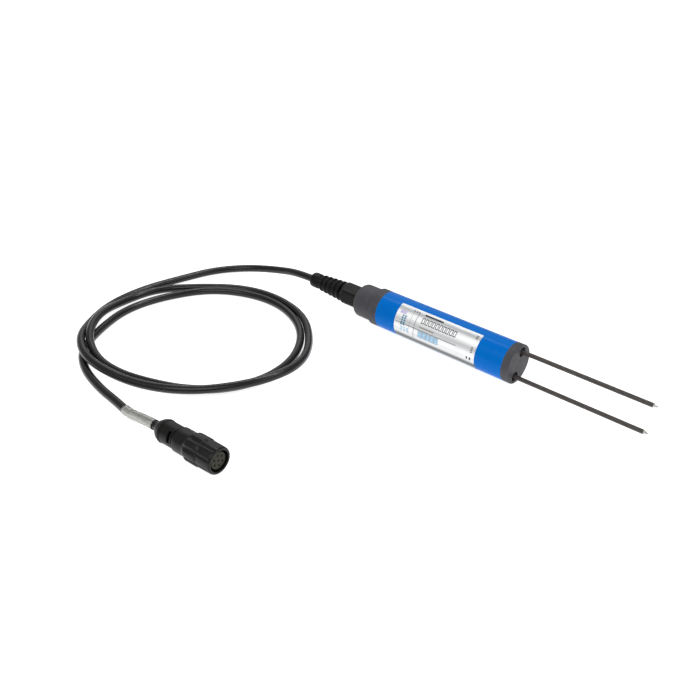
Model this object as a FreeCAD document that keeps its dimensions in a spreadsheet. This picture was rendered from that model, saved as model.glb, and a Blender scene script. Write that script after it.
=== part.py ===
import FreeCAD, Part
import math
import os
import Sketcher
from FreeCAD import Placement, Rotation, Vector

# Two-rod soil moisture sensor with its cable and round connector. Millimetres.
# +X runs along the probe towards the rod tips, +Z is up, z = 0 is the floor that the probe lies on.
# The origin is on the floor, half way along the probe, between the rod tips and the cable gland's mouth.

doc = FreeCAD.newDocument("soil_moisture_sensor")
dims = doc.addObject("Spreadsheet::Sheet", "Dims")

DRIVING = [
    ("axis_height", 16.0, "height of the probe's axis, so that the housing rests on the floor"),
    ("rod_tilt", 21.7, "degrees that the pair of rods is rolled away from upright"),
    ("tube_r", 16.0, "housing tube outside radius"),
    ("tube_bore", 13.2, "housing tube bore radius"),
    ("tube_x", -75.1, "rear end of the housing tube"),
    ("tube_len", 122.6, "housing tube length"),
    ("face_x", 53.6, "front face of the probe"),
    ("recess_r", 4.0, "radius of the recess round each rod in the front face"),
    ("recess_deep", 2.6, "depth of that recess"),
    ("cap_rim", 6.1, "front cap's visible rim"),
    ("cap_spigot", 12.0, "front cap's spigot inside the tube"),
    ("spigot_r", 13.1, "radius of both spigots"),
    ("ring_r", 0.9, "O-ring section radius"),
    ("collar_len", 9.0, "rear collar's visible length"),
    ("collar_bore", 10.6, "rear collar bore radius"),
    ("cap_x", -102.6, "rear end of the rear cap"),
    ("cap_len", 18.5, "rear cap's visible length"),
    ("cap_r", 14.4, "rear cap radius"),
    ("cap_round", 3.4, "rounding of the rear cap's end edge"),
    ("rod_gap", 20.0, "distance between the rods' axes"),
    ("rod_len", 110.0, "rod length in front of its recess, with the tip"),
    ("rod_r", 1.5, "steel rod radius"),
    ("coat_r", 1.75, "radius over the rod's coating"),
    ("tip_len", 4.0, "bare pointed tip"),
    ("bush_r", 3.0, "rod bush radius"),
    ("board_w", 21.0, "circuit board width"),
    ("board_len", 92.0, "circuit board length"),
    ("board_t", 1.6, "circuit board thickness"),
    ("board_x", -66.0, "rear end of the circuit board"),
    ("label_len", 78.7, "type label length along the tube"),
    ("label_x", -54.9, "rear end of the type label"),
    ("label_t", 0.14, "type label thickness"),
    ("label_start", 106.0, "degrees round the tube at the label's upper edge"),
    ("label_wrap", 136.0, "degrees round the tube that the label covers"),
    ("nut_flats", 19.0, "gland nut across flats"),
    ("nut_len", 18.9, "gland nut length"),
    ("nut_turned_r", 10.5, "radius that rounds the nut's corners"),
    ("nut_bore", 5.55, "bore of the nut round the boot"),
    ("mouth_x", -161.0, "mouth of the bend-protection boot"),
    ("stem_r", 8.0, "gland stem radius"),
    ("stem_bore", 4.6, "gland stem bore radius"),
    ("cable_r", 3.35, "cable radius"),
    ("boot_bore", 3.65, "bend-protection boot bore radius"),
    ("boot_big_r", 8.9, "first rib of the boot"),
    ("boot_small_r", 7.4, "last rib of the boot"),
    ("rib_pitch", 5.4, "distance between the boot's ribs"),
    ("rib_len", 2.8, "width of one rib"),
    ("rib_depth", 2.3, "depth of the grooves between ribs"),
    ("collar_end_r", 6.8, "collar at the boot's mouth"),
    ("collar_end_len", 9.2, "length of that collar"),
    ("plug_x", -95.2, "rear end of the connector"),
    ("plug_y", -225.1, "rear end of the connector, sideways"),
    ("plug_axis_z", 10.7, "height of the connector's axis, so that its lobes rest on the floor"),
    ("plug_yaw", 3.4, "degrees that the connector is turned about Z"),
    ("shell_r", 8.6, "connector rear shell radius"),
    ("shell_x", 1.8, "rear end of the rear shell"),
    ("shell_len", 23.2, "front end of the rear shell"),
    ("shell_cone", 9.6, "front end of the rear shell's cone"),
    ("window_at", 19.0, "rear edge of the rear shell's window"),
    ("window_len", 2.6, "length of the window"),
    ("window_half", 4.2, "half the width of the window"),
    ("plug_len", 61.6, "whole connector length"),
    ("ring_gap", 1.0, "gap between rear shell and coupling ring"),
    ("ring_out_r", 10.1, "coupling ring's front sleeve radius"),
    ("lobe_r", 10.6, "radius over the coupling ring's finger lobes"),
    ("lobe_start", 35.0, "where the finger lobes start"),
    ("lobe_end", 48.9, "where the finger lobes end"),
    ("hollow_r", 4.2, "radius of the hollows between the finger lobes"),
    ("hollow_at", 13.4, "distance of those hollows' centres from the axis"),
    ("flute_r", 2.6, "radius of the front sleeve's grooves"),
    ("flute_at", 12.1, "distance of those grooves' centres from the axis"),
    ("ring_bore", 7.8, "coupling ring's mouth radius"),
    ("core_r", 7.0, "connector body radius inside the ring"),
    ("insert_r", 6.2, "contact insert radius"),
    ("contact_pcd_r", 3.9, "radius of the circle of six contacts"),
    ("contact_r", 0.85, "contact socket radius"),
    ("contact_bore", 0.5, "contact socket bore radius"),
]
for row, (alias, value, note) in enumerate(DRIVING, 1):
    dims.set(f"A{row}", alias)
    dims.set(f"B{row}", str(value))
    dims.setAlias(f"B{row}", alias)
    dims.set(f"C{row}", note)
doc.recompute()

# The cable's route along its centre: out of the gland, down to the floor, two loose turns, and up into
# the connector. The first turn passes over the end of the last one, and rests on the second turn's side.
CABLE_ROUTE = [
    (-148, 0, 16), (-178, 0, 16), (-208, 1, 9.4), (-242, -7, 3.4), (-262, -32, 3.4),
    (-271.72, -64.15, 3.4), (-281.22, -100.73, 3.38), (-279.83, -138.14, 3.38),
    (-264.29, -169.14, 4.27), (-240.23, -193.44, 10.32), (-213.9, -206.43, 10.34),
    (-185.2, -207.6, 8.4), (-153.2, -199.2, 5.4), (-118.3, -185, 8.4), (-94.7, -160, 9.4),
    (-79.3, -130.8, 10.15), (-79.05, -99.11, 8.41), (-102.06, -65.64, 3.44), (-135.86, -38.65, 3.42),
    (-178.09, -30.73, 3.4), (-214.84, -39.16, 3.4), (-245.95, -63.69, 3.4), (-271.99, -93.59, 3.61),
    (-274.98, -128.27, 3.63), (-260.57, -161.87, 10.96), (-238.01, -187.09, 10.83),
    (-211.88, -198.28, 4.81), (-181.2, -198.4, 3.4), (-150.8, -189.9, 3.4), (-121.8, -176.7, 3.4),
    (-99.6, -154.3, 3.4), (-88.67, -124.18, 3.4), (-94.63, -89.9, 3.38), (-119.88, -56.91, 3.38),
    (-158.88, -38.98, 3.39), (-197.45, -40.49, 3.4), (-234.76, -60.26, 3.4), (-255.13, -97.55, 3.4),
    (-261.3, -134, 3.4), (-249.1, -169.27, 3.38), (-232.01, -197.59, 3.38), (-206.64, -212.44, 3.38),
    (-175.4, -219.6, 3.4), (-149.8, -221.6, 3.4), (-129, -224.6, 4), (-104, -225.62, 10.7),
    (-81.22, -224.27, 10.7),
]

# Every piece's finished object, by node name.
nodes = {}


def size(expression):
    """The number that a sheet expression gives now."""
    return float(dims.evalExpression(expression))


def add(label, thing):
    """Keep a finished object as the piece of that name."""
    thing.Label = label
    nodes[label] = thing
    return thing


def bind(thing, **expressions):
    """Bind properties, such as Radius="Dims.tube_r", to the sheet."""
    for name, expression in expressions.items():
        thing.setExpression(name.replace("__", "."), expression)
    return thing


def put(thing, x="0", y="0", z="0", turn=(0, 0, 1, 0)):
    """Place a piece: its base bound to the sheet, and a turn given as axis and degrees."""
    thing.Placement = Placement(Vector(size(x), size(y), size(z)), Rotation(Vector(*turn[:3]), turn[3]))
    for name, expression in (("x", x), ("y", y), ("z", z)):
        thing.setExpression("Placement.Base." + name, expression)
    return thing


def on_probe(thing, x, tilted=False):
    """Place a piece whose local +X is the probe's axis, rolled with the rods if it is tilted."""
    roll = -size("Dims.rod_tilt") if tilted else 0
    return put(thing, x, "0", "Dims.axis_height", (1, 0, 0, roll))


def on_plug(thing, along="0"):
    """Place a piece whose local +X is the connector's axis, a distance along from its rear end."""
    x = f"Dims.plug_x + ({along}) * cos(Dims.plug_yaw * 1deg)"
    y = f"Dims.plug_y + ({along}) * sin(Dims.plug_yaw * 1deg)"
    return put(thing, x, y, "Dims.plug_axis_z", (0, 0, 1, size("Dims.plug_yaw")))


def origin_plane(body, role):
    return next(f for f in body.Origin.OriginFeatures if f.Role == role)


def new_sketch(body, label, role="XY_Plane", offset="0"):
    sketch = body.newObject("Sketcher::SketchObject", label)
    sketch.AttachmentSupport = [(origin_plane(body, role), "")]
    sketch.MapMode = "FlatFace"
    sketch.AttachmentOffset = Placement(Vector(0, 0, size(offset)), Rotation())
    sketch.setExpression("AttachmentOffset.Base.z", offset)
    return sketch


def pin_point(sketch, geo, which, across, up):
    """Tie a sketch point to the sheet: across and up are expressions, and "0" puts it on the axis."""
    for kind, expression, axis in (("DistanceX", across, -2), ("DistanceY", up, -1)):
        if expression == "0":
            sketch.addConstraint(Sketcher.Constraint("PointOnObject", geo, which, axis))
        else:
            made = sketch.addConstraint(
                Sketcher.Constraint(kind, -1, 1, geo, which, size(expression)))
            sketch.setExpression(f"Constraints[{made}]", expression)


def outline(sketch, corners):
    """A closed outline of straight edges through corners given as pairs of expressions."""
    spots = [Vector(size(a), size(b), 0) for a, b in corners]
    count = len(corners)
    for i in range(count):
        sketch.addGeometry(Part.LineSegment(spots[i], spots[(i + 1) % count]))
    for i in range(count):
        sketch.addConstraint(Sketcher.Constraint("Coincident", i, 2, (i + 1) % count, 1))
    for i, (across, up) in enumerate(corners):
        pin_point(sketch, i, 1, across, up)


def turned(label, corners, keep=True):
    """A turned body: its half profile, as (along, radius) corners, spun about its own X axis."""
    body = doc.addObject("PartDesign::Body", label)
    sketch = new_sketch(body, label + "_profile")
    outline(sketch, corners)
    spin = body.newObject("PartDesign::Revolution", label + "_turned")
    spin.Profile = sketch
    spin.ReferenceAxis = (sketch, ["H_Axis"])
    spin.Angle = 360
    sketch.Visibility = False
    doc.recompute()
    return add(label, body) if keep else body


def circles(sketch, spots, radius):
    """Circles of one radius at centres given as pairs of expressions."""
    for i, (across, up) in enumerate(spots):
        sketch.addGeometry(Part.Circle(Vector(size(across), size(up), 0), Vector(0, 0, 1), size(radius)))
        pin_point(sketch, i, 3, across, up)
        made = sketch.addConstraint(Sketcher.Constraint("Radius", i, size(radius)))
        sketch.setExpression(f"Constraints[{made}]", radius)


def drilled(body, label, spots, radius, start, depth):
    """Round holes along local +X, from start and depth deep. Fails if nothing is cut."""
    before = body.Shape.Volume
    sketch = new_sketch(body, label, "YZ_Plane", start)
    circles(sketch, spots, radius)
    pocket = body.newObject("PartDesign::Pocket", label + "_cut")
    pocket.Profile = sketch
    pocket.Length = size(depth)
    pocket.setExpression("Length", depth)
    pocket.Reversed = True
    sketch.Visibility = False
    doc.recompute()
    if body.Shape.Volume > before - 0.01:
        raise ValueError(f"{label} cuts nothing")


def rounded(body, label, radius, chosen):
    """Fillet the edges that chosen(edge) picks."""
    tip = body.Tip
    names = [f"Edge{i}" for i, edge in enumerate(tip.Shape.Edges, 1) if chosen(edge)]
    fillet = body.newObject("PartDesign::Fillet", label)
    fillet.Base = (tip, names)
    fillet.Radius = size(radius)
    fillet.setExpression("Radius", radius)
    doc.recompute()


def ring_edge(along, radius):
    """A test for the round edge at that distance along local X and of that radius."""
    def chosen(edge):
        curve = edge.Curve
        return (isinstance(curve, Part.Circle) and abs(curve.Radius - radius) < 0.01
                and abs(curve.Center.x - along) < 0.01)
    return chosen


def cut(label, base, tool):
    thing = doc.addObject("Part::Cut", label)
    thing.Base = base
    thing.Tool = tool
    doc.recompute()
    return add(label, thing)


def box(label, x, y, z, length, width, height):
    """A block bound to the sheet, given by its low corner and its size."""
    thing = bind(doc.addObject("Part::Box", label), Length=length, Width=width, Height=height)
    return put(thing, x, y, z)


def group(label, members):
    """Several separate solids that share one node."""
    thing = doc.addObject("Part::Compound", label)
    thing.Links = members
    doc.recompute()
    return add(label, thing)


def o_ring(label, radius, section):
    """An O-ring whose axis is local X, inside a compound that takes the placement."""
    torus = bind(doc.addObject("Part::Torus", label + "_section"), Radius1=radius, Radius2=section)
    torus.Placement = Placement(Vector(), Rotation(Vector(0, 1, 0), 90))
    return group(label, [torus])


# The floor of the recesses in the front face, where the rods come out.
ROOT = "Dims.face_x - Dims.recess_deep"
ROD_SPOTS = {"upper": ("0", "Dims.rod_gap / 2"), "lower": ("0", "-Dims.rod_gap / 2")}


# --- Probe housing ---------------------------------------------------------------------------------

def make_housing_tube():
    tube = turned("housing_tube", [
        ("0", "Dims.tube_bore"), ("Dims.tube_len", "Dims.tube_bore"),
        ("Dims.tube_len", "Dims.tube_r"), ("0", "Dims.tube_r")])
    on_probe(tube, "Dims.tube_x")


def make_front_cap():
    groove = "Dims.spigot_r - 1.5 * Dims.ring_r"
    middle = "Dims.cap_spigot / 2"
    cap = turned("front_cap", [
        ("0", "0"), ("Dims.cap_spigot + Dims.cap_rim", "0"),
        ("Dims.cap_spigot + Dims.cap_rim", "Dims.tube_r"), ("Dims.cap_spigot", "Dims.tube_r"),
        ("Dims.cap_spigot", "Dims.spigot_r"), (middle + " + 1.2", "Dims.spigot_r"),
        (middle + " + 1.2", groove), (middle + " - 1.2", groove), (middle + " - 1.2", "Dims.spigot_r"),
        ("0", "Dims.spigot_r")])
    spots = list(ROD_SPOTS.values())
    through = "Dims.cap_spigot + Dims.cap_rim"
    drilled(cap, "rod_holes", spots, "Dims.rod_r", "0", through)
    drilled(cap, "recesses", spots, "Dims.recess_r", through + " - Dims.recess_deep",
            "Dims.recess_deep")
    drilled(cap, "bush_holes", spots, "Dims.bush_r", through + " - Dims.recess_deep - 3.6", "3.6")
    drilled(cap, "sensor_well", [("0", "0")], "2.2", "0", through + " - 1.5")
    rounded(cap, "face_edge", "0.5", ring_edge(size(through), size("Dims.tube_r")))
    on_probe(cap, "Dims.face_x - Dims.cap_rim - Dims.cap_spigot", tilted=True)
    seal = o_ring("front_o_ring", "Dims.spigot_r - 0.6 * Dims.ring_r", "0.7 * Dims.ring_r")
    on_probe(seal, "Dims.face_x - Dims.cap_rim - Dims.cap_spigot / 2")


def make_front_potting():
    potting = turned("front_potting", [
        ("0", "0"), ("4", "0"), ("4", "Dims.tube_bore - 0.05"),
        ("0", "Dims.tube_bore - 0.05")])
    drilled(potting, "rod_passages", list(ROD_SPOTS.values()), "Dims.rod_r", "0", "4")
    drilled(potting, "lead_passage", [("0", "0")], "2.2", "0", "4")
    on_probe(potting, "Dims.face_x - Dims.cap_rim - Dims.cap_spigot - 4", tilted=True)


def make_rear_collar():
    inner_end = "Dims.collar_bore + 0.1"
    collar = turned("rear_collar", [
        ("0", "Dims.collar_bore"), ("Dims.collar_len + 8", inner_end),
        ("Dims.collar_len + 8", "Dims.spigot_r"), ("Dims.collar_len", "Dims.spigot_r"),
        ("Dims.collar_len", "Dims.tube_r"), ("0", "Dims.tube_r")])
    rounded(collar, "collar_edge", "0.7", ring_edge(0, size("Dims.tube_r")))
    on_probe(collar, "Dims.tube_x - Dims.collar_len")


def make_rear_cap():
    """A cup with a stem that screws into the collar; the dark groove is the gap in front of its skirt."""
    front = "Dims.cap_len - 0.8"
    stem = "Dims.collar_bore - 0.1"
    cap = turned("rear_cap", [
        ("0", "Dims.stem_r + 0.05"), ("5", "Dims.stem_r + 0.05"), ("5", "8.6"),
        (front + " + 8", "8.6"), (front + " + 8", stem), (front + " + 3.2", stem),
        (front + " + 3.2", stem + " - 0.9"), (front + " + 0.8", stem + " - 0.9"),
        (front + " + 0.8", stem), (front, stem), (front, "Dims.cap_r"), ("0", "Dims.cap_r")])
    rounded(cap, "rear_edge", "Dims.cap_round", ring_edge(0, size("Dims.cap_r")))
    rounded(cap, "skirt_edge", "0.5", ring_edge(size(front), size("Dims.cap_r")))
    on_probe(cap, "Dims.cap_x")
    seal = o_ring("rear_o_ring", "Dims.collar_bore - 0.55", "0.45")
    on_probe(seal, "Dims.cap_x + Dims.cap_len + 1.2")


def make_type_label():
    """A foil label wrapped part of the way round the tube."""
    parts = []
    for name, radius in (("foil_outside", "Dims.tube_r + 0.02 + Dims.label_t"),
                         ("foil_inside", "Dims.tube_r + 0.02")):
        wrap = bind(doc.addObject("Part::Cylinder", name), Radius=radius, Height="Dims.label_len",
                    Angle="Dims.label_wrap")
        parts.append(wrap)
    label = cut("type_label", *parts)
    # The cylinder's +Z becomes the probe's +X, and its start angle is measured from +Y towards +Z.
    roll = Rotation(Vector(1, 0, 0), size("Dims.label_start"))
    stand = Rotation(Vector(0, 1, 0), Vector(0, 0, 1), Vector(1, 0, 0), "XYZ")
    label.Placement = Placement(Vector(size("Dims.label_x"), 0, size("Dims.axis_height")), roll * stand)
    label.setExpression("Placement.Base.x", "Dims.label_x")
    label.setExpression("Placement.Base.z", "Dims.axis_height")


# --- Rods ------------------------------------------------------------------------------------------

def make_rods():
    """Each rod: a steel bar with a cone point, a coating short of the tip, a bush and an inner clamp."""
    inner = "24"
    for side, (_, across) in ROD_SPOTS.items():
        lift = f"({across}) * cos(Dims.rod_tilt * 1deg)"
        shift = f"({across}) * sin(Dims.rod_tilt * 1deg)"

        def place(piece, x):
            put(piece, x, shift, "Dims.axis_height + " + lift, (1, 0, 0, -size("Dims.rod_tilt")))

        bar = turned(f"rod_{side}", [
            ("0", "0"), (inner + " + Dims.rod_len", "0"),
            (inner + " + Dims.rod_len - 0.2", "0.15"),
            (inner + " + Dims.rod_len - Dims.tip_len", "Dims.rod_r"), ("0", "Dims.rod_r")])
        place(bar, ROOT + " - " + inner)
        coat = turned(f"rod_coating_{side}", [
            ("0", "Dims.rod_r"), ("Dims.rod_len - Dims.tip_len + 0.4", "Dims.rod_r"),
            ("Dims.rod_len - Dims.tip_len + 0.4", "Dims.coat_r"), ("0", "Dims.coat_r")])
        place(coat, ROOT + " - 0.4")
        bush = turned(f"rod_bush_{side}", [
            ("0", "Dims.rod_r"), ("3.2", "Dims.rod_r"), ("3.2", "Dims.bush_r"), ("0", "Dims.bush_r")])
        place(bush, ROOT + " - 3.6")


def make_rod_clamps():
    """Brass blocks soldered to the board's front end that hold the rods' inner ends."""
    for side, (_, across) in ROD_SPOTS.items():
        block = box(f"clamp_block_{side}", "0", "-2.4", across + " - 2.4", "7", "4.2", "4.8")
        # Each block is bored for its rod.
        hole = bind(doc.addObject("Part::Cylinder", f"clamp_bore_{side}"), Radius="Dims.rod_r + 0.02",
                    Height="7")
        put(hole, "0", "0", across, (0, 1, 0, 90))
        clamp = cut(f"rod_clamp_{side}", block, hole)
        on_probe(clamp, ROOT + " - 27.5", tilted=True)


# --- Electronics inside the tube ------------------------------------------------------------------

BOARD_BACK = "1.8"


def make_board():
    """The board stands in the rods' plane, just beside the rods, with its parts on the far side."""
    board = box("circuit_board_blank", "0", BOARD_BACK, "-Dims.board_w / 2", "Dims.board_len",
                "Dims.board_t", "Dims.board_w")
    board = group("circuit_board", [board])
    on_probe(board, "Dims.board_x", tilted=True)
    top = BOARD_BACK + " + Dims.board_t"
    shield = group("board_shield", [
        box("shield_can", "58", top, "-8", "26", "3.4", "16")])
    on_probe(shield, "Dims.board_x", tilted=True)
    chips = [("36", "-5", "10", "10", "1.4"), ("24", "2", "6", "5", "1.2"),
             ("24", "-7", "7", "6", "1.6"), ("50", "-6", "3", "3", "2.2"),
             ("50", "2", "4", "4", "1.8"), ("16.5", "-3", "4", "6", "2.6")]
    members = [box(f"chip_{i}", x, top, z, length, height, width)
               for i, (x, z, length, width, height) in enumerate(chips, 1)]
    on_probe(group("board_chips", members), "Dims.board_x", tilted=True)
    header = group("wire_header", [
        box("header_block", "1.5", top, "-8.5", "8", "5", "17")])
    on_probe(header, "Dims.board_x", tilted=True)


def make_board_supports():
    """Moulded discs that centre the board in the tube; each is cut away beside the board's parts."""
    for name, x in (("front", "12"), ("rear", "-55")):
        disc = turned(f"{name}_disc", [
            ("0", "0"), ("3", "0"), ("3", "Dims.tube_bore - 0.1"), ("0", "Dims.tube_bore - 0.1")],
            keep=False)
        slot = box(f"{name}_slot", "-1", BOARD_BACK + " - 0.05", "-Dims.board_w / 2 - 0.05", "5",
                   "12", "Dims.board_w + 0.1")
        support = cut(f"board_support_{name}", disc, slot)
        on_probe(support, x, tilted=True)


def make_temperature_sensor():
    """A thermistor bead in the front cap's well, with its two leads back to the board."""
    bead = turned("temperature_sensor", [
        ("0", "0"), ("7", "0"), ("7", "1.2"), ("6", "1.9"), ("0", "1.9")])
    on_probe(bead, "Dims.face_x - 9", tilted=True)
    leads = []
    for i, up in enumerate(("0.7", "-0.7")):
        lead = bind(doc.addObject("Part::Cylinder", f"sensor_lead_{i}"), Radius="0.3", Height="19")
        leads.append(put(lead, "-19", "0", up, (0, 1, 0, 90)))
    on_probe(group("sensor_leads", leads), "Dims.face_x - 9", tilted=True)


# --- Cable gland -----------------------------------------------------------------------------------

def make_gland():
    """Stem through the rear cap, lock nut inside it, rubber seal, hex nut and ribbed boot."""
    stem = turned("gland_stem", [
        ("0", "Dims.stem_bore"), ("18", "Dims.stem_bore"), ("18", "6.9"), ("9.6", "6.9"),
        ("9.6", "Dims.stem_r"), ("0", "Dims.stem_r")])
    on_probe(stem, "Dims.cap_x - 9.6")
    lock = turned("gland_lock_nut", [
        ("0", "6.95"), ("2.6", "6.95"), ("2.6", "8.4"), ("0", "8.4")])
    on_probe(lock, "Dims.cap_x + 5.05")
    seal = turned("gland_seal", [
        ("0", "Dims.cable_r"), ("9", "Dims.cable_r"), ("9", "4.5"), ("2", "4.5"), ("0", "3.9")])
    on_probe(seal, "Dims.cap_x - 9.6")
    make_gland_nut()
    make_gland_boot()


def make_gland_nut():
    """A hexagon bar, domed at its outer end and bored for the stem and the boot's flange."""
    bar = bind(doc.addObject("Part::Prism", "hex_bar"), Circumradius="Dims.nut_flats / sqrt(3)",
               Height="Dims.nut_len")
    bar.Polygon = 6
    put(bar, "0", "0", "0", (0, 1, 0, 90))
    dome = turned("hex_dome", [
        ("0", "0"), ("Dims.nut_len", "0"), ("Dims.nut_len", "Dims.nut_turned_r - 0.6"),
        ("Dims.nut_len - 1", "Dims.nut_turned_r"), ("3.2", "Dims.nut_turned_r"),
        ("1", "Dims.nut_turned_r - 0.9"), ("0", "Dims.nut_turned_r - 1.7")], keep=False)
    flange = "Dims.stem_r - 0.9"
    bore = turned("hex_bore", [
        ("-1", "0"), ("Dims.nut_len + 1", "0"), ("Dims.nut_len + 1", "Dims.stem_r + 0.05"),
        ("6.8", "Dims.stem_r + 0.05"), ("6.8", flange), ("4.4", flange), ("4.4", "Dims.nut_bore"),
        ("-1", "Dims.nut_bore")], keep=False)
    shaped = doc.addObject("Part::Common", "hex_shaped")
    shaped.Base = bar
    shaped.Tool = dome
    nut = cut("gland_nut", shaped, bore)
    put(nut, "Dims.cap_x - 0.5 - Dims.nut_len", "0", "Dims.axis_height", (1, 0, 0, -5))


def make_gland_boot():
    """The bend-protection boot: a flange held by the nut, six grooves between tapering ribs, a collar."""
    neck = "Dims.nut_bore - 0.1"
    front = "Dims.cap_x - 0.5 - Dims.nut_len + 6.6"
    length = f"({front} - Dims.mouth_x)"
    corners = [("0", "Dims.boot_bore"), (length, "Dims.boot_bore"), (length, "Dims.stem_r - 1"),
               (length + " - 2", "Dims.stem_r - 1"), (length + " - 2", neck),
               (length + " - 9.3", neck)]
    ribs = 5
    for i in range(ribs):
        # From the nut towards the mouth: each rib is a little smaller than the one before it.
        rib = f"(Dims.boot_big_r + (Dims.boot_small_r - Dims.boot_big_r) * {i} / {ribs - 1})"
        floor = neck if i == 0 else f"{rib} - Dims.rib_depth"
        far = f"{length} - 9.3 - {i} * Dims.rib_pitch"
        if i > 0:
            corners.append((far, floor))
        corners += [(far, rib), (f"{far} - Dims.rib_len", rib),
                    (f"{far} - Dims.rib_len", f"{rib} - Dims.rib_depth")]
    corners += [("Dims.collar_end_len", "Dims.boot_small_r - Dims.rib_depth"),
                ("Dims.collar_end_len", "Dims.collar_end_r"), ("0", "Dims.collar_end_r")]
    boot = turned("gland_boot", corners)
    rounded(boot, "mouth_edge", "1.4", ring_edge(0, size("Dims.collar_end_r")))
    on_probe(boot, "Dims.mouth_x")


# --- Cable -----------------------------------------------------------------------------------------

def make_cable_inner_end():
    """The cable's own end, gripped in the gland, and its seven cores fanned out to the header."""
    jacket = turned("cable_inner_end", [
        ("0", "0"), ("50", "0"), ("50", "Dims.cable_r - 0.01"), ("0", "Dims.cable_r - 0.01")])
    on_probe(jacket, "-148")
    cores = []
    start_x, end_x = -98.0, size("Dims.board_x") + 1.4
    header_y = size(BOARD_BACK + " + Dims.board_t") + 2.5
    for i in range(7):
        angle = math.radians(60 * i)
        reach = 0 if i == 6 else 1.7
        start = Vector(0, reach * math.cos(angle), reach * math.sin(angle))
        finish = Vector(end_x - start_x, header_y, 2.4 * (i - 3))
        third = (end_x - start_x) / 3
        bends = [start, Vector(third, start.y, start.z), Vector(2 * third, finish.y, finish.z), finish]
        core = doc.addObject("Part::Feature", f"core_{i}")
        core.Shape = tube_solid(bends, 0.5)
        cores.append(core)
    on_probe(group("cable_cores", cores), "-98", tilted=True)


def rounded_path(points, report=None):
    """Straight runs joined by tangent arcs, each as large as its two runs allow."""
    edges = []
    begin = points[0]
    length = 0.0
    for before, corner, after in zip(points, points[1:], points[2:]):
        into = corner - before
        out = after - corner
        shorter = min(into.Length, out.Length)
        into = Vector(into).normalize()
        out = Vector(out).normalize()
        turn = into.getAngle(out)
        radius = 0.45 * shorter / math.tan(turn / 2)
        reach = 0.45 * shorter
        first = corner - into * reach
        last = corner + out * reach
        inward = Vector(out - into).normalize()
        middle = corner + inward * (radius / math.cos(turn / 2) - radius)
        edges.append(Part.LineSegment(begin, first).toShape())
        edges.append(Part.Arc(first, middle, last).toShape())
        length += (first - begin).Length + radius * turn
        if report is not None:
            report.append(round(radius, 1))
        begin = last
    edges.append(Part.LineSegment(begin, points[-1]).toShape())
    length += (points[-1] - begin).Length
    return Part.Wire(edges), length


def tube_solid(points, radius, report=None):
    """A round solid along a rounded path, its volume compared with section times length."""
    path, length = rounded_path(points, report)
    start = Vector(points[1] - points[0]).normalize()
    section = Part.Wire([Part.Circle(points[0], start, radius).toShape()])
    solid = path.makePipeShell([section], True, False)
    expected = math.pi * radius ** 2 * length
    if abs(solid.Volume / expected - 1) > 0.01 or not solid.isValid():
        raise ValueError(f"tube volume {solid.Volume:.0f}, expected {expected:.0f}")
    if report is not None:
        print(f"cable length {length:.0f} mm, volume {solid.Volume:.0f} of {expected:.0f} mm3")
    return solid


def make_plug_cores():
    """The seven cores inside the connector, from the jacket's end to the contacts' solder buckets."""
    cores = []
    for i, (across, up) in enumerate(contact_spots()):
        finish = Vector(21.9, size(across), size(up))
        start = Vector(0, finish.y * 0.45, finish.z * 0.45)
        if i == 0:
            core = bind(doc.addObject("Part::Cylinder", "plug_core_0"), Radius="0.5", Height="21.9")
            core.Placement = Placement(Vector(), Rotation(Vector(0, 1, 0), 90))
        else:
            bends = [start, Vector(7.3, start.y, start.z), Vector(14.6, finish.y, finish.z), finish]
            core = doc.addObject("Part::Feature", f"plug_core_{i}")
            core.Shape = tube_solid(bends, 0.5)
        cores.append(core)
    on_plug(group("plug_cores", cores), "14.4")


def make_cable():
    radii = []
    cable = doc.addObject("Part::Feature", "cable")
    cable.Shape = tube_solid([Vector(*point) for point in CABLE_ROUTE], size("Dims.cable_r"), radii)
    print("cable bend radii", radii)
    add("cable", cable)


def make_marker_sleeve():
    """A clear sleeve with a foil marker, shrunk over the cable just behind the connector."""
    points = [Vector(*point) for point in CABLE_ROUTE]
    path, _ = rounded_path(points)
    spine = [e for e in path.Edges if e.CenterOfMass.y < -220]
    first, last = -135.5, -97.5
    kept = []
    for edge in spine:
        low, high = edge.FirstParameter, edge.LastParameter
        xs = [edge.valueAt(low).x, edge.valueAt(high).x]
        if max(xs) <= first or min(xs) >= last:
            continue
        low = parameter_at(edge, first) if xs[0] < first else low
        high = parameter_at(edge, last) if xs[1] > last else high
        kept.append(edge.Curve.toShape(low, high))
    wire = Part.Wire(kept)
    begin = kept[0].valueAt(kept[0].FirstParameter)
    along = kept[0].tangentAt(kept[0].FirstParameter)
    solids = []
    for radius in (size("Dims.cable_r") + 0.55, size("Dims.cable_r") + 0.02):
        section = Part.Wire([Part.Circle(begin, along, radius).toShape()])
        solids.append(wire.makePipeShell([section], True, False))
    sleeve = doc.addObject("Part::Feature", "marker_sleeve")
    sleeve.Shape = solids[0].cut(solids[1])
    add("marker_sleeve", sleeve)


def parameter_at(edge, x):
    """The parameter where an edge of the route reaches that x, by bisection."""
    low, high = edge.FirstParameter, edge.LastParameter
    for _ in range(40):
        middle = (low + high) / 2
        if edge.valueAt(middle).x < x:
            low = middle
        else:
            high = middle
    return low


# --- Connector -------------------------------------------------------------------------------------

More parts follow.
